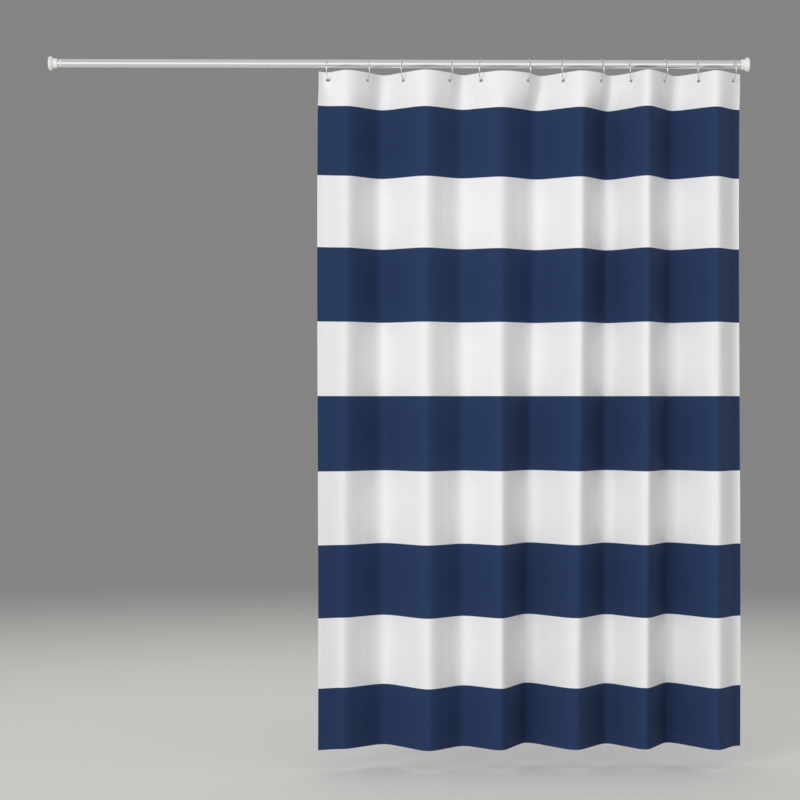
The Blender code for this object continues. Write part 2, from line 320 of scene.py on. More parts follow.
def hook_maker():
    """A wire ring of any size and turn, with its two balls, standing where it hangs."""
    tree = bpy.data.node_groups.new("wire_hook", "GeometryNodeTree")
    start, end = sockets(
        tree,
        [
            ("Ring Radius", "NodeSocketFloat", 0.028),
            ("Wire Radius", "NodeSocketFloat", 0.00125),
            ("Ball Radius", "NodeSocketFloat", 0.0023),
            ("First Angle", "NodeSocketFloat", 0.0),
            ("Sweep", "NodeSocketFloat", 5.0),
            ("Turn", "NodeSocketVector", None),
            ("Centre", "NodeSocketVector", None),
            ("Finish", "NodeSocketMaterial", None),
        ],
        [("Geometry", "NodeSocketGeometry")],
    )
    given = start.outputs
    ring = place(
        tree,
        "GeometryNodeCurveArc",
        {
            "Resolution": 97,
            "Radius": given["Ring Radius"],
            "Start Angle": given["First Angle"],
            "Sweep Angle": given["Sweep"],
        },
        mode="RADIUS",
    )
    section = place(tree, "GeometryNodeCurvePrimitiveCircle", {"Resolution": 14})
    tree.links.new(given["Wire Radius"], section.inputs["Radius"])
    wire = place(
        tree,
        "GeometryNodeCurveToMesh",
        {"Curve": ring.outputs["Curve"], "Profile Curve": section.outputs["Curve"], "Fill Caps": True},
    )
    ball = place(
        tree,
        "GeometryNodeMeshUVSphere",
        {"Segments": 18, "Rings": 12, "Radius": given["Ball Radius"]},
    )
    ends = place(tree, "GeometryNodeCurveEndpointSelection", {"Start Size": 1, "End Size": 1})
    balls = place(
        tree,
        "GeometryNodeInstanceOnPoints",
        {"Points": ring.outputs["Curve"], "Selection": ends.outputs[0], "Instance": ball.outputs["Mesh"]},
    )
    joined = place(tree, "GeometryNodeJoinGeometry")
    tree.links.new(balls.outputs[0], joined.inputs[0])
    tree.links.new(wire.outputs[0], joined.inputs[0])
    stood = place(
        tree,
        "GeometryNodeTransform",
        {"Geometry": joined.outputs[0], "Rotation": (math.pi / 2, 0, math.pi / 2)},
    )
    hung = place(
        tree,
        "GeometryNodeTransform",
        {"Geometry": stood.outputs[0], "Rotation": given["Turn"], "Translation": given["Centre"]},
    )
    real = place(tree, "GeometryNodeRealizeInstances", {"Geometry": hung.outputs[0]})
    smooth = place(tree, "GeometryNodeSetShadeSmooth", {"Geometry": real.outputs[0]})
    finished = place(
        tree,
        "GeometryNodeSetMaterial",
        {"Geometry": smooth.outputs[0], "Material": given["Finish"]},
    )
    tree.links.new(finished.outputs[0], end.inputs["Geometry"])
    return tree


def made_by(tree, name, values, start_mesh=None):
    """The plain mesh object that a Geometry Nodes tree makes with these values."""
    maker = bpy.data.objects.new(f"{name}_maker", start_mesh or bpy.data.meshes.new(name))
    bpy.context.scene.collection.objects.link(maker)
    modifier = maker.modifiers.new(tree.name, "NODES")
    modifier.node_group = tree
    for item in tree.interface.items_tree:
        if item.in_out == "INPUT" and item.name in values:
            modifier[item.identifier] = values[item.name]
    seen = maker.evaluated_get(bpy.context.evaluated_depsgraph_get())
    mesh = bpy.data.meshes.new_from_object(seen)
    bpy.data.objects.remove(maker)
    mesh.name = name
    piece = bpy.data.objects.new(name, mesh)
    bpy.context.scene.collection.objects.link(piece)
    return piece


hook_chrome = metal_finish(
    "wire_chrome",
    colour=(0.73, 0.72, 0.70),
    dulled=(0.63, 0.62, 0.60),
    along=(1.0, 1.0, 1.0),
    line_scale=1800.0,
    polish=0.25,
    dullest=0.34,
    depth=0.00002,
)
wire_hook = hook_maker()
for number in range(1, HOOK_COUNT + 1):
    low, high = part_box(f"hook_{number:02d}")
    ring_radius = (high.z - low.z - HOOK_WIRE) / 2
    middle = ((low.x + high.x) / 2, 0.0, (low.z + high.z) / 2)
    turn = HOOK_TWIST if number % 2 == 0 else -HOOK_TWIST
    hook = made_by(
        wire_hook,
        f"wire_hook_{number:02d}",
        {
            "Ring Radius": ring_radius,
            "Wire Radius": HOOK_WIRE / 2,
            "Ball Radius": HOOK_BALL / 2,
            "First Angle": OPEN_TO,
            "Sweep": 2 * math.pi + OPEN_FROM - OPEN_TO,
            "Turn": (0.0, 0.0, turn),
            "Centre": middle,
            "Finish": hook_chrome,
        },
    )
    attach(hook, f"hook_{number:02d}")
    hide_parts(f"hook_{number:02d}")

# ---- The curtain's cloth -------------------------------------------------------------------------------
# One rectangle of plain-woven polyester, 1.778 by 1.829 m, printed with five navy bands and hemmed on
# all four sides. It hangs in pleats, out to the room between one pair of hooks and back to the tub
# between the next. It is made as eleven strips that meet beside the hooks, each bending over one crest.

CURTAIN_WIDTH = 1.778
CURTAIN_DROP = 1.829
EDGE_MARGIN = 0.025  # from a side edge to the first buttonhole
HOLE_PITCH = (CURTAIN_WIDTH - 2 * EDGE_MARGIN) / (HOOK_COUNT - 1)
CLOTH = 0.0005
FOLDED = 0.0008  # what a hem's turned-in layers add
FRONT_SHARE = 0.15  # of that on the room side, and the rest at the back
TOP_HEM = 0.0385
BOTTOM_HEM = 0.025
SIDE_HEM = 0.012
HEM_STEP = 0.0010  # over which a hem's thickness comes down to the cloth's
EDGE_ROUND = 0.0007
EDGE_LEAST = 0.02  # keeps a hair's thickness at the very edge
HOLE_DEPTH = 0.0212  # from the top edge to a buttonhole's middle
HOLE_HALF_WIDTH = 0.0066
HOLE_HALF_HEIGHT = 0.0038
HOLE_FLATS = [EDGE_MARGIN + HOLE_PITCH * i for i in range(HOOK_COUNT)]
SEAM_PAST_HOOK = 0.012  # where two strips meet, to the right of a hook

joints = {joint["name"]: joint for joint in frame["joints"]}
hook_x = [joints[f"hook_{number:02d}_turn"]["pos_m"][0] for number in range(1, HOOK_COUNT)]
hook_x.append(joints["curtain_gather"]["pos_m"][0])
crest_x = [joints[f"crest_{number:02d}"]["pos_m"][0] for number in range(1, HOOK_COUNT)]
curtain_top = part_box("cloth_panel_12")[1].z

# The pleats' lines down the curtain, at its header, its upper part and its foot. In millimetres: how
# far each crest has moved sideways, and how far it stands to the room (-) or to the tub (+).
CREST_SHIFT = {
    "header": (0, -4, -5, -2, -7, -8, -12, -3, -12, -5, -12, -4, 0),
    "upper": (-1, -6, -10, -3, -9, -12, -24, -5, -22, -7, -22, -5, 0),
    "foot": (-1, -16, -6, 4, -4, -14, -48, -20, -22, -9, -32, -2, 0),
}
CREST_STAND = {
    "header": (-10, -36, 44, -44, 38, -30, 50, -32, 42, -56, 46, -42, 16),
    "upper": (-62, -45, 46, -46, 28, -26, 56, -36, 66, -64, 46, -46, 30),
    "foot": (-50, -31, 56, -69, 18, -58, 76, -56, 60, -50, 76, -62, 16),
}
HEADER_END = 0.026  # the drops between which the lines ease from one height's place to the next
UPPER_AT = 0.13
FOOT_FROM = 0.156
FOOT_AT = 1.78
LEFT_EDGE_OUT = 0.0262  # from the outer hooks to the curtain's side edges, before they shift
RIGHT_EDGE_OUT = 0.0215
LEFT_LINE_IN = 0.026  # below the header, from the side edges to the outer hooks' lines
RIGHT_LINE_IN = 0.024
RIGHT_LINE_OUT = 0.016  # how far to the room of the right edge its hook's line stands there
HOOK_SLOPE = 1.22  # the cloth's slope at a hook line, against its mean slope between two crests
CREST_LIFT = 0.0019  # how far the top edge rises at a room-side crest, and drops at a tub-side one
LEFT_CORNER = 0.6  # how much of that lift the top corners have
RIGHT_CORNER = -0.5
LIFT_FADES = 0.05


def ease(value, low, high):
    """0 up to low, 1 from high on, and smooth between."""
    share = np.clip((value - low) / (high - low), 0, 1)
    return share * share * (3 - 2 * share)


def fold_lines():
    """Where each line down the curtain runs at its three heights: crests at even places, hooks at odd."""
    places = 2 * HOOK_COUNT + 1
    across = np.zeros((3, places))
    stand = np.zeros((3, places))
    edges = [hook_x[0] - LEFT_EDGE_OUT, *crest_x, hook_x[-1] + RIGHT_EDGE_OUT]
    for row, level in enumerate(("header", "upper", "foot")):
        across[row, 0::2] = edges + np.array(CREST_SHIFT[level]) / 1000
        stand[row, 0::2] = np.array(CREST_STAND[level]) / 1000
        if level == "header":
            across[row, 1::2] = hook_x
        else:
            across[row, 1::2] = (across[row, 0:-1:2] + across[row, 2::2]) / 2
            stand[row, 1::2] = (stand[row, 0:-1:2] + stand[row, 2::2]) / 2
            across[row, 1] = across[row, 0] + LEFT_LINE_IN
            across[row, -2] = across[row, -1] - RIGHT_LINE_IN
            stand[row, -2] = stand[row, -1] - RIGHT_LINE_OUT
    return across, stand


line_across, line_stand = fold_lines()


def at_line(lines, place_number, drop):
    """A line's value at each drop below the top edge."""
    upper = ease(drop, HEADER_END, UPPER_AT)
    foot = ease(drop, FOOT_FROM, FOOT_AT)
    at_header, at_upper, at_foot = (row[place_number] for row in lines)
    return at_header + (at_upper - at_header) * upper + (at_foot - at_upper) * foot


def cloth_at(along, drop):
    """The cloth's middle surface. Along counts fold lines from the left edge, at 0, to the right, at 24."""
    along, drop = np.broadcast_arrays(np.asarray(along, float), np.asarray(drop, float))
    left = np.clip(np.floor(along).astype(int), 0, 2 * HOOK_COUNT - 1)
    share = along - left
    from_hook = left % 2 == 1
    hook_line = np.where(from_hook, left, left + 1)
    crest_line = np.where(from_hook, left + 1, left)
    t = np.where(from_hook, share, 1 - share)
    hook_at = at_line(line_across, hook_line, drop)
    crest_at = at_line(line_across, crest_line, drop)
    hook_stand = at_line(line_stand, hook_line, drop)
    crest_stand = at_line(line_stand, crest_line, drop)
    rise = at_line(line_stand, hook_line + 1, drop) - at_line(line_stand, hook_line - 1, drop)
    run = at_line(line_across, hook_line + 1, drop) - at_line(line_across, hook_line - 1, drop)
    slope = HOOK_SLOPE * rise / run
    width = crest_at - hook_at
    x = hook_at + width * t
    rounded = (crest_stand - hook_stand) * t * t * (3 - 2 * t) + slope * width * t * (1 - t) ** 2
    straight = slope * width * t + (crest_stand - hook_stand - slope * width) * t * t
    at_edge = (crest_line == 0) | (crest_line == 2 * HOOK_COUNT)
    y = hook_stand + np.where(at_edge, straight, rounded)
    lift = np.where(crest_line % 4 == 2, CREST_LIFT, -CREST_LIFT)
    lift = np.where(crest_line == 0, CREST_LIFT * LEFT_CORNER, lift)
    lift = np.where(crest_line == 2 * HOOK_COUNT, CREST_LIFT * RIGHT_CORNER, lift)
    z = curtain_top - drop + lift * t * t * (3 - 2 * t) * np.exp(-np.maximum(drop, 0) / LIFT_FADES)
    loose = ease(drop, 0.03, 0.4)  # no fold hangs quite straight below the header
    y = y + 0.0011 * np.sin(1.9 * along + 2.3 * drop + 0.6) * loose
    x = x + 0.0012 * np.sin(1.3 * along - 3.1 * drop) * loose
    return np.stack([x, y, z], -1)


WIDTHS_TAKEN_AT = 0.75  # the drop at which the folded cloth's width is shared out
SAMPLES_TO_A_LINE = 80


def flat_widths():
    """The flat distance from the left edge at many places along, which the weave and hems follow."""
    along = np.linspace(0, 2 * HOOK_COUNT, 2 * HOOK_COUNT * SAMPLES_TO_A_LINE + 1)
    points = cloth_at(along, WIDTHS_TAKEN_AT)
    length = np.concatenate([[0], np.cumsum(np.linalg.norm(np.diff(points, axis=0), axis=1))])
    marks = [0, *range(1, 2 * HOOK_COUNT, 2), 2 * HOOK_COUNT]
    measured = np.interp(marks, along, length)
    return along, np.interp(length, measured, [0, *HOLE_FLATS, CURTAIN_WIDTH])


ALONG_SAMPLES, FLAT_SAMPLES = flat_widths()


def flat_of(along):
    """The flat distance from the left edge, at a place counted in fold lines."""
    return np.interp(along, ALONG_SAMPLES, FLAT_SAMPLES)


def along_of(flat):
    """The place counted in fold lines, at a flat distance from the left edge."""
    return np.interp(flat, FLAT_SAMPLES, ALONG_SAMPLES)


def facing(along, drop, surface=cloth_at):
    """The direction each point of the surface faces on the room side."""
    step = 0.0015  # of the way from one fold line to the next
    dip = 0.0001
    across = surface(along + step, drop) - surface(along - step, drop)
    down = surface(along, drop + dip) - surface(along, drop - dip)
    normal = np.cross(down, across)
    return normal / np.linalg.norm(normal, axis=-1, keepdims=True)


def hole_distance(flat, drop):
    """How far each point is from the edge of the nearest buttonhole, a rounded slot."""
    nearest = np.clip(np.round((flat - EDGE_MARGIN) / HOLE_PITCH), 0, HOOK_COUNT - 1)
    sideways = np.abs(flat - EDGE_MARGIN - nearest * HOLE_PITCH) / HOLE_HALF_WIDTH
    upright = np.abs(drop - HOLE_DEPTH) / HOLE_HALF_HEIGHT
    reach = (sideways**3 + upright**3) ** (1 / 3)
    return (reach - 1) * (HOLE_HALF_WIDTH + HOLE_HALF_HEIGHT) / 2


def layers(flat, drop):
    """The cloth's thickness in front of and behind its middle surface, with hems and rounded edges."""
    hem = np.maximum.reduce(
        [
            1 - ease(drop, TOP_HEM, TOP_HEM + HEM_STEP),
            ease(drop, CURTAIN_DROP - BOTTOM_HEM - HEM_STEP, CURTAIN_DROP - BOTTOM_HEM),
            1 - ease(flat, SIDE_HEM, SIDE_HEM + HEM_STEP),
            ease(flat, CURTAIN_WIDTH - SIDE_HEM - HEM_STEP, CURTAIN_WIDTH - SIDE_HEM),
        ]
    )
    edge = np.minimum.reduce(
        [drop, CURTAIN_DROP - drop, flat, CURTAIN_WIDTH - flat, hole_distance(flat, drop)]
    )
    inward = np.clip(edge / EDGE_ROUND, 0, 1)
    rounding = np.sqrt(np.maximum(1 - (1 - inward) ** 2, EDGE_LEAST))
    front = (CLOTH / 2 + FRONT_SHARE * FOLDED * hem) * rounding
    back = (CLOTH / 2 + (1 - FRONT_SHARE) * FOLDED * hem) * rounding
    return front, back


def front_surface(along, drop):
    front, _ = layers(flat_of(along), drop)
    return cloth_at(along, drop) + facing(along, drop) * front[..., None]


def back_surface(along, drop):
    _, back = layers(flat_of(along), drop)
    return cloth_at(along, drop) - facing(along, drop) * back[..., None]


def spread(start, stop, step):
    """Evenly spaced values from start to stop, no further apart than step."""
    return list(np.linspace(start, stop, max(1, math.ceil((stop - start) / step - 1e-6)) + 1))


def joined_up(*runs):
    """Runs of values put end to end, each starting where the one before stops."""
    values = list(runs[0])
    for run in runs[1:]:
        values += list(run[1:])
    return np.array(values)


# The mesh's rows down the curtain. They lie close at its edges, its hems and its buttonholes, and apart
# lower down, where the folds run straight.
HOLE_PATCH = 0.0095  # half the width and height of the square of cloth round a buttonhole
PATCH_CELLS = 8
EDGE_ROWS = (0, 0.0002, 0.0007, 0.0025)  # how far in the close rows round a rounded edge lie
foot_hem = CURTAIN_DROP - BOTTOM_HEM
drops = joined_up(
    EDGE_ROWS,
    spread(EDGE_ROWS[-1], HOLE_DEPTH - HOLE_PATCH, 0.005),
    np.linspace(HOLE_DEPTH - HOLE_PATCH, HOLE_DEPTH + HOLE_PATCH, PATCH_CELLS + 1),
    [HOLE_DEPTH + HOLE_PATCH, 0.0355, TOP_HEM, TOP_HEM + HEM_STEP / 2, TOP_HEM + HEM_STEP, 0.045],
    spread(0.045, 0.105, 0.010),
    spread(0.105, 0.40, 0.0148),
    spread(0.40, foot_hem - 0.006, 0.020),
    [foot_hem - 0.006, foot_hem - HEM_STEP, foot_hem - HEM_STEP / 2, foot_hem],
    spread(foot_hem, CURTAIN_DROP - EDGE_ROWS[-1], 0.006),
    [CURTAIN_DROP - row for row in reversed(EDGE_ROWS)],
)
COLUMN_STEP = 0.0028
HEM_COLUMN_STEP = 0.0033
USUAL_SHIFT = 0.004  # how far to the left of its even place a header crest usually stands


def seam_flat(hook_number):
    """Where two strips meet, beside a hook, as a flat distance from the left edge."""
    half_gap = (crest_x[hook_number - 1] - USUAL_SHIFT) - hook_x[hook_number - 1]
    return float(flat_of(2 * hook_number - 1 + SEAM_PAST_HOOK / half_gap))


def strip_columns(number):
    """The flat distances of a strip's columns, and the numbers of the hooks whose holes it has."""
    holes = [1, 2] if number == 1 else [number + 1]
    if number == 1:
        here = SIDE_HEM + HEM_STEP
        runs = [EDGE_ROWS, spread(EDGE_ROWS[-1], SIDE_HEM, HEM_COLUMN_STEP)]
        runs.append([SIDE_HEM, SIDE_HEM + HEM_STEP / 2, here])
    else:
        here = seam_flat(number)
        runs = []
    for hook_number in holes:
        middle = HOLE_FLATS[hook_number - 1]
        runs.append(spread(here, middle - HOLE_PATCH, COLUMN_STEP))
        runs.append(np.linspace(middle - HOLE_PATCH, middle + HOLE_PATCH, PATCH_CELLS + 1))
        here = middle + HOLE_PATCH
    if number == HOOK_COUNT - 1:
        hem = CURTAIN_WIDTH - SIDE_HEM
        runs.append([here, hem - HEM_STEP, hem - HEM_STEP / 2, hem])
        runs.append(spread(hem, CURTAIN_WIDTH - EDGE_ROWS[-1], HEM_COLUMN_STEP))
        runs.append([CURTAIN_WIDTH - row for row in reversed(EDGE_ROWS)])
    else:
        runs.append(spread(here, seam_flat(number + 1), COLUMN_STEP))
    return joined_up(*runs), holes


def slot_points(middle, angles, grown):
    """Points round a buttonhole at these angles on the flat cloth, grown outwards by a distance."""
    c, s = np.cos(angles), np.sin(angles)
    reach = (np.abs(c / HOLE_HALF_WIDTH) ** 3 + np.abs(s / HOLE_HALF_HEIGHT) ** 3) ** (-1 / 3)
    return middle + c * (reach + grown), HOLE_DEPTH + s * (reach + grown)


def strip_layer(number):
    """A strip as one layer: the flat place of each point, and its faces, anticlockwise from the room."""
    columns, holes = strip_columns(number)
    flats, points_down, faces = [], [], []
    numbering = {}

    def grid_point(i, j):
        if (i, j) not in numbering:
            numbering[i, j] = len(flats)
            flats.append(columns[i])
            points_down.append(drops[j])
        return numbering[i, j]

    blocks = []
    top = int(np.argmin(np.abs(drops - (HOLE_DEPTH - HOLE_PATCH))))
    for hook_number in holes:
        left = int(np.argmin(np.abs(columns - (HOLE_FLATS[hook_number - 1] - HOLE_PATCH))))
        blocks.append((left, top, HOLE_FLATS[hook_number - 1]))
    n = PATCH_CELLS
    for i in range(len(columns) - 1):
        for j in range(len(drops) - 1):
            if not any(a <= i < a + n and b <= j < b + n for a, b, _ in blocks):
                corners = [(i, j), (i, j + 1), (i + 1, j + 1), (i + 1, j)]
                faces.append([grid_point(*corner) for corner in corners])
    for a, b, middle in blocks:
        rim = [(a + i, b) for i in range(n)] + [(a + n, b + j) for j in range(n)]
        rim += [(a + n - i, b + n) for i in range(n)] + [(a, b + n - j) for j in range(n)]
        outer = [grid_point(i, j) for i, j in rim]
        angles = np.array([math.atan2(points_down[p] - HOLE_DEPTH, flats[p] - middle) for p in outer])
        rings = [outer]
        for grown in (0.0016, EDGE_ROUND, 0.0002, 0.0):
            ring_flat, ring_down = slot_points(middle, angles, grown)
            ring = list(range(len(flats), len(flats) + len(outer)))
            flats.extend(ring_flat)
            points_down.extend(ring_down)
            rings.append(ring)
        for wide, narrow in zip(rings, rings[1:]):
            for i in range(len(wide)):
                j = (i + 1) % len(wide)
                faces.append([wide[i], narrow[i], narrow[j], wide[j]])
    return np.array(flats), np.array(points_down), faces


def make_strip(number, finish):
    """A strip of the curtain as a closed solid, with both faces, its rims, its flat map and its print."""
    flat, drop, faces = strip_layer(number)
    along = along_of(flat)
    front = front_surface(along, drop)
    back = back_surface(along, drop)
    front_facing = facing(along, drop, front_surface)
    back_facing = -facing(along, drop, back_surface)
    count = len(flat)
    edges = {(a, b): None for face in faces for a, b in zip(face, face[1:] + face[:1])}
    rims = [(a, b) for a, b in edges if (b, a) not in edges]
    all_faces = list(faces)
    all_faces += [[p + count for p in reversed(face)] for face in faces]
    all_faces += [[b, a, a + count, b + count] for a, b in rims]
    mesh = bpy.data.meshes.new(f"curtain_strip_{number:02d}")
    mesh.from_pydata(np.concatenate([front, back]).tolist(), [], all_faces)
    mesh.update()
    mesh.shade_smooth()
    corner_points = np.zeros(len(mesh.loops), int)
    mesh.loops.foreach_get("vertex_index", corner_points)
    normals = np.concatenate([front_facing, back_facing])[corner_points]
    rim_start = sum(len(face) for face in all_faces[: 2 * len(faces)])
    face_normals = np.zeros(len(mesh.polygons) * 3)
    mesh.polygons.foreach_get("normal", face_normals)
    face_normals = face_normals.reshape(-1, 3)[2 * len(faces) :]
    normals[rim_start:] = np.repeat(face_normals, 4, axis=0)
    mesh.normals_split_custom_set(normals.tolist())
    flat_map = mesh.uv_layers.new(name="flat_cloth")
    places = np.stack([np.tile(flat, 2), CURTAIN_DROP - np.tile(drop, 2)], -1)[corner_points]
    flat_map.data.foreach_set("uv", places.astype(np.float32).ravel())
    printed = mesh.attributes.new("printed_side", "FLOAT", "POINT")
    side = np.concatenate([np.ones(count), np.zeros(count)])
    printed.data.foreach_set("value", side.astype(np.float32))
    mesh.materials.append(finish)
    strip = bpy.data.objects.new(f"curtain_strip_{number:02d}", mesh)
    bpy.context.scene.collection.objects.link(strip)
    return strip


# The printed bands' heights down the curtain, white and navy by turns.
BAND_HEIGHTS = (0.0965, 0.1879, 0.1929, 0.1997, 0.2000, 0.2028, 0.1985, 0.1965, 0.1887, 0.1655)
BAND_BLUR = 0.0003
BAND_WANDER = 0.0010  # how unevenly the dye has bled along a band's edge
WANDER_SCALE = 700.0
WHITE_DYE = (0.80, 0.80, 0.81)
NAVY_DYE = (0.0185, 0.0385, 0.102)
NAVY_THROUGH = (0.20, 0.25, 0.36)  # the bands as they show on the unprinted back


def maths(tree, operation, *values):
    """The result of one operation on values or other nodes' outputs, as an output."""
    return place(tree, "ShaderNodeMath", dict(enumerate(values)), operation=operation).outputs[0]


def scaled(tree, vector, factor):
    """A vector or a colour times a number, as an output."""
    made = place(tree, "ShaderNodeVectorMath", {0: vector, "Scale": factor}, operation="SCALE")
    return made.outputs[0]


def band_group():
    """1 where the cloth is printed navy and 0 where it is white, by the drop below the top edge."""
    tree = bpy.data.node_groups.new("navy_bands", "ShaderNodeTree")
    start, end = sockets(
        tree,
        [("Drop", "NodeSocketFloat", 0.0), ("Bleed", "NodeSocketFloat", BAND_BLUR)],
        [("Navy", "NodeSocketFloat")],
    )
    total = 0.0
    edge = 0.0
    for number, height in enumerate(BAND_HEIGHTS[:-1]):
        edge += height
        above = maths(tree, "SUBTRACT", edge, start.outputs["Bleed"])
        below = maths(tree, "ADD", edge, start.outputs["Bleed"])
        change = 1.0 if number % 2 == 0 else -1.0
        passed = place(
            tree, "ShaderNodeMapRange", {0: start.outputs["Drop"], 1: above, 2: below, 3: 0.0, 4: change}
        )
        total = maths(tree, "ADD", total, passed.outputs[0])
    tree.links.new(total, end.inputs["Navy"])
    return tree


navy_bands = band_group()


def weave_group():
    """Plain weave: one thread over, one under, in both directions, with the threads' unevenness."""
    tree = bpy.data.node_groups.new("plain_weave", "ShaderNodeTree")
    start, end = sockets(
        tree,
        [
            ("Flat", "NodeSocketVector", None),
            ("Threads Per Metre", "NodeSocketFloat", 2200.0),
            ("Slub Scale", "NodeSocketFloat", 90.0),
        ],
        [("Height", "NodeSocketFloat"), ("Tone", "NodeSocketFloat")],
    )
    given = start.outputs
    counted = scaled(tree, given["Flat"], given["Threads Per Metre"])
    split = place(tree, "ShaderNodeSeparateXYZ", {0: counted})
    turns = [maths(tree, "MULTIPLY", split.outputs[axis], math.pi) for axis in ("X", "Y")]
    crossing = maths(tree, "MULTIPLY", maths(tree, "SINE", turns[0]), maths(tree, "SINE", turns[1]))
    slubs = []
    for stretch in ((0.06, 6.0, 1.0), (6.0, 0.06, 1.0)):
        drawn = place(tree, "ShaderNodeMapping", {"Vector": given["Flat"], "Scale": stretch})
        slubs.append(noise(tree, drawn.outputs[0], given["Slub Scale"], 3.0))
    tone = maths(tree, "MULTIPLY", maths(tree, "ADD", *slubs), 0.5)
    height = maths(tree, "MULTIPLY_ADD", crossing, 0.5, tone)
    tree.links.new(height, end.inputs["Height"])
    tree.links.new(tone, end.inputs["Tone"])
    return tree


plain_weave = weave_group()


def cloth_finish():
    """The printed cloth: white, with navy bands by their height on the flat cloth, paler at the back."""
    material, tree, shader = blank_finish(
        "printed_polyester",
        Roughness=0.82,
        Sheen_Weight=0.04,
        Sheen_Roughness=0.45,
        Specular_IOR_Level=0.12,
    )
    flat = place(tree, "ShaderNodeUVMap", uv_map="flat_cloth").outputs[0]
    split = place(tree, "ShaderNodeSeparateXYZ", {0: flat})
    wander = noise(tree, flat, WANDER_SCALE, 2.0)
    ragged = maths(tree, "MULTIPLY_ADD", wander, BAND_WANDER, split.outputs["Y"])
    drop = maths(tree, "SUBTRACT", CURTAIN_DROP + BAND_WANDER / 2, ragged)
    bands = place(tree, "ShaderNodeGroup", {"Drop": drop}, node_tree=navy_bands)
    weave = place(tree, "ShaderNodeGroup", {"Flat": flat}, node_tree=plain_weave)
    side = place(tree, "ShaderNodeAttribute", attribute_name="printed_side")
    front = mixed_colours(tree, bands.outputs["Navy"], WHITE_DYE, NAVY_DYE)
    behind = mixed_colours(tree, bands.outputs["Navy"], WHITE_DYE, NAVY_THROUGH)
    dyed = mixed_colours(tree, side.outputs["Fac"], behind, front)
    tone = place(
        tree,
        "ShaderNodeMapRange",
        {0: weave.outputs["Tone"], 1: 0.3, 2: 0.7, 3: 0.965, 4: 1.035},
    )
    tree.links.new(scaled(tree, dyed, tone.outputs[0]), shader.inputs["Base Color"])
    raise_surface(tree, shader, weave.outputs["Height"], strength=0.35, depth=0.00012)
    return material


printed_cloth = cloth_finish()
strips = {}
for number in range(1, HOOK_COUNT):
    strip = make_strip(number, printed_cloth)
    strips[number] = strip

# ---- The sewing ----------------------------------------------------------------------------------------
# Polyester thread: a row of lockstitch along each hem, and satin stitch close round each buttonhole.
# Both show on both faces, follow the cloth, and take the dye where a printed band crosses them.

LINE_STEP = 0.0015  # between the points of a line that stitches are set along
STITCH_PITCH = 0.0030
STITCH_LENGTH = 0.0024
THREAD = 0.00022  # radius
SATIN_PITCH = 0.00062
SATIN_WIDTH = 0.0022
SEWN_IN = 0.0018  # from a hem's inner edge to its stitching
STITCH_RISE = THREAD * 0.4  # how far a lockstitch's middle lies off the cloth
SATIN_THREAD = THREAD * 1.2
SATIN_OUT = EDGE_ROUND + SATIN_WIDTH * 0.42  # how far from the hole's edge the satin's middle runs
FRONT_FACE = CLOTH / 2 + FRONT_SHARE * FOLDED  # a hem's two faces, from the cloth's middle
BACK_FACE = CLOTH / 2 + (1 - FRONT_SHARE) * FOLDED


def stitch_maker():
    """Short lengths of thread at an even pitch along a line, on the front and on the back of the cloth."""
    tree = bpy.data.node_groups.new("stitch_row", "GeometryNodeTree")
    start, end = sockets(
        tree,
        [
            ("Geometry", "NodeSocketGeometry", None),
            ("Pitch", "NodeSocketFloat", 0.003),
            ("Half Sizes", "NodeSocketVector", None),
            ("Front Lift", "NodeSocketFloat", 0.0004),
            ("Back Lift", "NodeSocketFloat", 0.0009),
            ("Unevenness", "NodeSocketFloat", 0.06),
            ("Seed", "NodeSocketInt", 7),
            ("Finish", "NodeSocketMaterial", None),
        ],
        [("Geometry", "NodeSocketGeometry")],
    )
    given = start.outputs
    line = place(tree, "GeometryNodeMeshToCurve", {0: given["Geometry"]})
    marked = place(
        tree,
        "GeometryNodeResampleCurve",
        {"Curve": line.outputs[0], "Length": given["Pitch"]},
        mode="LENGTH",
    )
    thread_piece = place(tree, "GeometryNodeMeshUVSphere", {"Segments": 6, "Rings": 4, "Radius": 1.0})
    outward = place(
        tree, "GeometryNodeInputNamedAttribute", {"Name": "cloth_facing"}, data_type="FLOAT_VECTOR"
    )
    tangent = place(tree, "GeometryNodeInputTangent")
    lengthwise = place(
        tree, "FunctionNodeAlignRotationToVector", {"Vector": tangent.outputs[0]}, axis="X"
    )
    lying = place(
        tree,
        "FunctionNodeAlignRotationToVector",
        {"Rotation": lengthwise.outputs[0], "Vector": outward.outputs["Attribute"]},
        axis="Z",
        pivot_axis="X",
    )
    low = maths(tree, "SUBTRACT", 1.0, given["Unevenness"])
    high = maths(tree, "ADD", 1.0, given["Unevenness"])
    uneven = place(
        tree, "FunctionNodeRandomValue", {2: low, 3: high, "Seed": given["Seed"]}, data_type="FLOAT"
    )
    size = scaled(tree, given["Half Sizes"], uneven.outputs[1])
    joined = place(tree, "GeometryNodeJoinGeometry")
    for lift in ("Back Lift", "Front Lift"):
        off = scaled(tree, outward.outputs["Attribute"], given[lift])
        lifted = place(tree, "GeometryNodeSetPosition", {"Geometry": marked.outputs[0], "Offset": off})
        sewn = place(
            tree,
            "GeometryNodeInstanceOnPoints",
            {
                "Points": lifted.outputs[0],
                "Instance": thread_piece.outputs["Mesh"],
                "Rotation": lying.outputs[0],
                "Scale": size,
            },
        )
        tree.links.new(sewn.outputs[0], joined.inputs[0])
    real = place(tree, "GeometryNodeRealizeInstances", {"Geometry": joined.outputs[0]})
    smooth = place(tree, "GeometryNodeSetShadeSmooth", {"Geometry": real.outputs[0]})
    finished = place(
        tree,
        "GeometryNodeSetMaterial",
        {"Geometry": smooth.outputs[0], "Material": given["Finish"]},
    )
    tree.links.new(finished.outputs[0], end.inputs["Geometry"])
    return tree


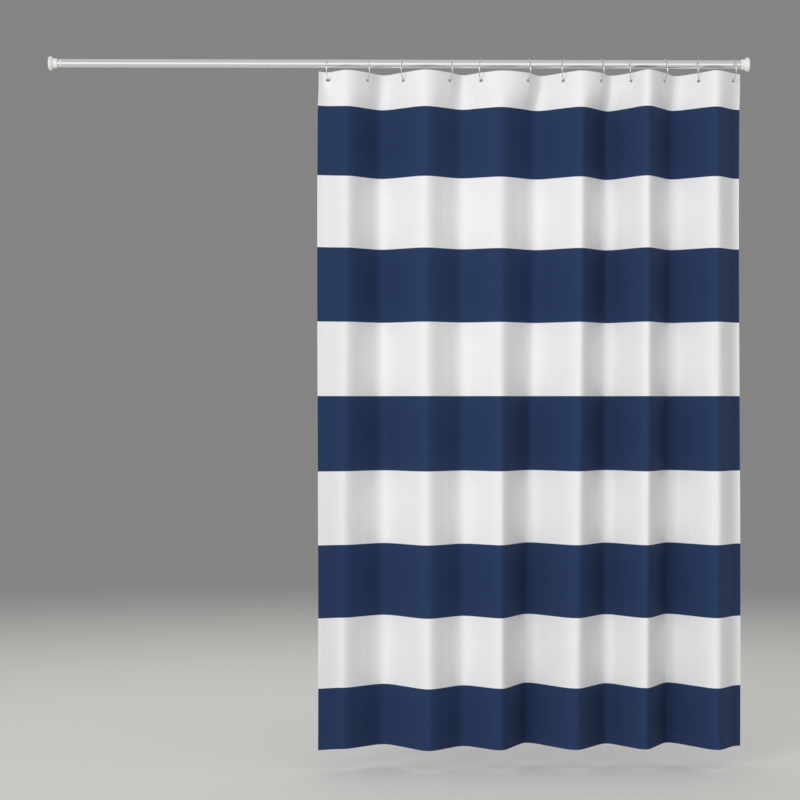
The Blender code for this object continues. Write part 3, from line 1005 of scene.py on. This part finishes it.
def sewing_line(name, runs, closed=False):
    """A mesh of lines on the cloth's middle surface, each a run of flat places, that know its facing."""
    points, facings, edges = [], [], []
    for flat, drop in runs:
        along = along_of(np.asarray(flat, float))
        drop = np.broadcast_to(np.asarray(drop, float), along.shape)
        first = len(points)
        points.extend(cloth_at(along, drop).tolist())
        facings.extend(facing(along, drop).tolist())
        edges.extend((i, i + 1) for i in range(first, len(points) - 1))
        if closed:
            edges.append((len(points) - 1, first))
    mesh = bpy.data.meshes.new(name)
    mesh.from_pydata(points, edges, [])
    known = mesh.attributes.new("cloth_facing", "FLOAT_VECTOR", "POINT")
    known.data.foreach_set("vector", np.array(facings, np.float32).ravel())
    return mesh


def thread_finish():
    """Two-ply thread, slightly lustrous, with the twist of its plies, dyed with the cloth it is sewn in."""
    material, tree, shader = blank_finish(
        "sewing_thread", Roughness=0.55, Sheen_Weight=0.1, Sheen_Roughness=0.4
    )
    where = place(tree, "ShaderNodeTexCoord").outputs["Object"]
    twist = place(
        tree,
        "ShaderNodeTexWave",
        {"Vector": where, "Scale": 700.0, "Distortion": 1.5},
        bands_direction="DIAGONAL",
    )
    split = place(tree, "ShaderNodeSeparateXYZ", {0: where})
    drop = maths(tree, "SUBTRACT", curtain_top, split.outputs["Z"])
    bands = place(tree, "ShaderNodeGroup", {"Drop": drop}, node_tree=navy_bands)
    white = mixed_colours(tree, twist.outputs["Fac"], (0.70, 0.70, 0.70), (0.84, 0.84, 0.84))
    navy = mixed_colours(tree, twist.outputs["Fac"], (0.020, 0.038, 0.10), (0.03, 0.055, 0.135))
    colours = mixed_colours(tree, bands.outputs["Navy"], white, navy)
    tree.links.new(colours, shader.inputs["Base Color"])
    raise_surface(tree, shader, twist.outputs["Fac"], strength=0.4, depth=0.00005)
    return material


stitch_row = stitch_maker()
sewing_thread = thread_finish()
lockstitch = {
    "Pitch": STITCH_PITCH,
    "Half Sizes": (STITCH_LENGTH / 2, THREAD, THREAD),
    "Front Lift": FRONT_FACE + STITCH_RISE,
    "Back Lift": -(BACK_FACE + STITCH_RISE),
    "Unevenness": 0.06,
    "Finish": sewing_thread,
}
satin_stitch = {
    "Pitch": SATIN_PITCH,
    "Half Sizes": (SATIN_THREAD, SATIN_WIDTH / 2, SATIN_THREAD),
    "Front Lift": FRONT_FACE,
    "Back Lift": -BACK_FACE,
    "Unevenness": 0.08,
    "Finish": sewing_thread,
}
foot_row = foot_hem + SEWN_IN
side_rows = {1: SIDE_HEM - SEWN_IN, HOOK_COUNT - 1: CURTAIN_WIDTH - SIDE_HEM + SEWN_IN}
sewn_on = {number: [] for number in strips}
round_hole = np.linspace(0, 2 * math.pi, 96, endpoint=False)
for number in strips:
    columns, holes = strip_columns(number)
    left = columns[0] + STITCH_PITCH / 2
    right = columns[-1] - STITCH_PITCH / 2
    fine = spread(left, right, LINE_STEP)
    runs = [(fine, TOP_HEM - SEWN_IN), (fine, foot_row)]
    if number in side_rows:
        down = np.array(spread(STITCH_PITCH, CURTAIN_DROP - STITCH_PITCH, LINE_STEP))
        runs.append((np.full(len(down), side_rows[number]), down))
    hem_line = sewing_line(f"hem_line_{number:02d}", runs)
    hems = made_by(stitch_row, f"hem_stitches_{number:02d}", {**lockstitch, "Seed": number}, hem_line)
    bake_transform(hems)
    sewn_on[number].append(hems)
    for hook_number in holes:
        middle = HOLE_FLATS[hook_number - 1]
        outline = slot_points(middle, round_hole, SATIN_OUT)
        hole_line = sewing_line(f"hole_line_{hook_number:02d}", [outline], closed=True)
        satin = made_by(
            stitch_row,
            f"buttonhole_stitches_{hook_number:02d}",
            {**satin_stitch, "Seed": 40 + hook_number},
            hole_line,
        )
        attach(satin, f"panel_{hook_number:02d}")
        sewn_on[number].append(satin)

for number, strip in strips.items():
    panels = ["cloth_panel_01"] if number == 1 else []
    panels.append(f"cloth_panel_{number + 1:02d}")
    columns, holes = strip_columns(number)
    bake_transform(strip)
    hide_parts(*panels)

# ---- The studio ----------------------------------------------------------------------------------------
# A pale floor that fades out into a plain grey backdrop, an even soft light all round with more of it
# from in front, and a large soft lamp to the front left. The camera stands level in front of the curtain
# and turns slightly to the right, with its lens shifted back by as much.

FLOOR_BELOW_HEM = 0.055
FLOOR_REACH = 7.0
FADE_FROM = 1.2  # how far from the curtain the floor starts to fade
FADE_TO = 6.6
FLOOR_CORNERS = 64
FLOOR_PAINT = (0.88, 0.865, 0.83)
floor_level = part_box("cloth_panel_12")[0].z - FLOOR_BELOW_HEM
middle_x = (cad_corners[0].x + cad_corners[1].x) / 2

floor_mesh = bpy.data.meshes.new("studio_floor")
turns = [2 * math.pi * i / FLOOR_CORNERS for i in range(FLOOR_CORNERS)]
floor_mesh.from_pydata(
    [(middle_x + FLOOR_REACH * math.cos(a), FLOOR_REACH * math.sin(a), floor_level) for a in turns],
    [],
    [list(range(FLOOR_CORNERS))],
)
floor = bpy.data.objects.new("studio_floor", floor_mesh)
bpy.context.scene.collection.objects.link(floor)
floor_finish, tree, shader = blank_finish("studio_floor", Roughness=0.7)
shader.inputs["Base Color"].default_value = (*FLOOR_PAINT, 1.0)
where = place(tree, "ShaderNodeTexCoord")
apart = place(
    tree,
    "ShaderNodeVectorMath",
    {0: where.outputs["Object"], 1: (middle_x, 0.0, floor_level)},
    operation="DISTANCE",
)
fade = place(
    tree,
    "ShaderNodeMapRange",
    {0: apart.outputs["Value"], 1: FADE_FROM, 2: FADE_TO, 3: 1.0, 4: 0.0},
    interpolation_type="SMOOTHSTEP",
)
tree.links.new(fade.outputs[0], shader.inputs["Alpha"])
floor_mesh.materials.append(floor_finish)

# The front light is a belt just below the horizon, ahead of the curtain. Its numbers are parts of a
# direction of length 1. The camera itself sees the plain backdrop.
BACKDROP = (0.235, 0.232, 0.226)
EVEN_LIGHT = 0.59
FRONT_LIGHT = 0.52
BELT_AT = -0.13
BELT_SPREAD = 0.30
AHEAD_FROM = -0.55
AHEAD_FULL = -0.92
world = bpy.data.worlds.new("studio")
bpy.context.scene.world = world
world.use_nodes = True
sky = world.node_tree
light_from = place(sky, "ShaderNodeTexCoord")
split = place(sky, "ShaderNodeSeparateXYZ", {0: light_from.outputs["Generated"]})
height = maths(sky, "SUBTRACT", split.outputs["Z"], BELT_AT)
squared = maths(sky, "MULTIPLY", height, height)
belt = maths(sky, "EXPONENT", maths(sky, "MULTIPLY", squared, -1 / (2 * BELT_SPREAD**2)))
ahead = place(
    sky,
    "ShaderNodeMapRange",
    {0: split.outputs["Y"], 1: AHEAD_FROM, 2: AHEAD_FULL, 3: 0.0, 4: 1.0},
    interpolation_type="SMOOTHSTEP",
)
from_front = maths(sky, "MULTIPLY", belt, ahead.outputs[0])
strength = maths(sky, "MULTIPLY_ADD", from_front, FRONT_LIGHT, EVEN_LIGHT)
seen = place(sky, "ShaderNodeLightPath")
plain = sky.nodes["Background"]
plain.inputs["Color"].default_value = (*BACKDROP, 1.0)
soft = place(sky, "ShaderNodeBackground", {"Color": (1.0, 1.0, 1.0, 1.0), "Strength": strength})
mixed = place(sky, "ShaderNodeMixShader", {0: seen.outputs["Is Camera Ray"], 1: soft.outputs[0]})
sky.links.new(plain.outputs[0], mixed.inputs[2])
sky.links.new(mixed.outputs[0], sky.nodes["World Output"].inputs["Surface"])

LAMP_SIZE = 4.4
LAMP_PLACE = Vector((-6.8, -10.5, 0.6))
LAMP_AIM = Vector((-0.25, 0.0, -0.85))
lamp_data = bpy.data.lights.new("soft_lamp", "AREA")
lamp_data.shape = "RECTANGLE"
lamp_data.size = LAMP_SIZE
lamp_data.size_y = LAMP_SIZE
lamp_data.energy = 57.0
lamp_data.spread = math.radians(50)
lamp = bpy.data.objects.new("soft_lamp", lamp_data)
lamp.location = LAMP_PLACE
bpy.context.scene.collection.objects.link(lamp)
lamp.rotation_mode = "QUATERNION"
lamp.rotation_quaternion = (LAMP_AIM - LAMP_PLACE).to_track_quat("-Z", "Y")

CAMERA_PLACE = (-0.9494, -6.25, -0.9110)
CAMERA_TURN = math.radians(0.8)
camera_data = bpy.data.cameras.new("camera")
camera_data.sensor_width = 36.0
camera_data.lens = 103.75
camera_data.clip_end = 100.0
camera_data.shift_x = -math.tan(CAMERA_TURN) * camera_data.lens / camera_data.sensor_width
camera = bpy.data.objects.new("camera", camera_data)
camera.location = CAMERA_PLACE
camera.rotation_euler = (math.pi / 2, 0.0, -CAMERA_TURN)
bpy.context.scene.collection.objects.link(camera)
bpy.context.scene.camera = camera
bpy.context.scene.view_settings.view_transform = "Standard"
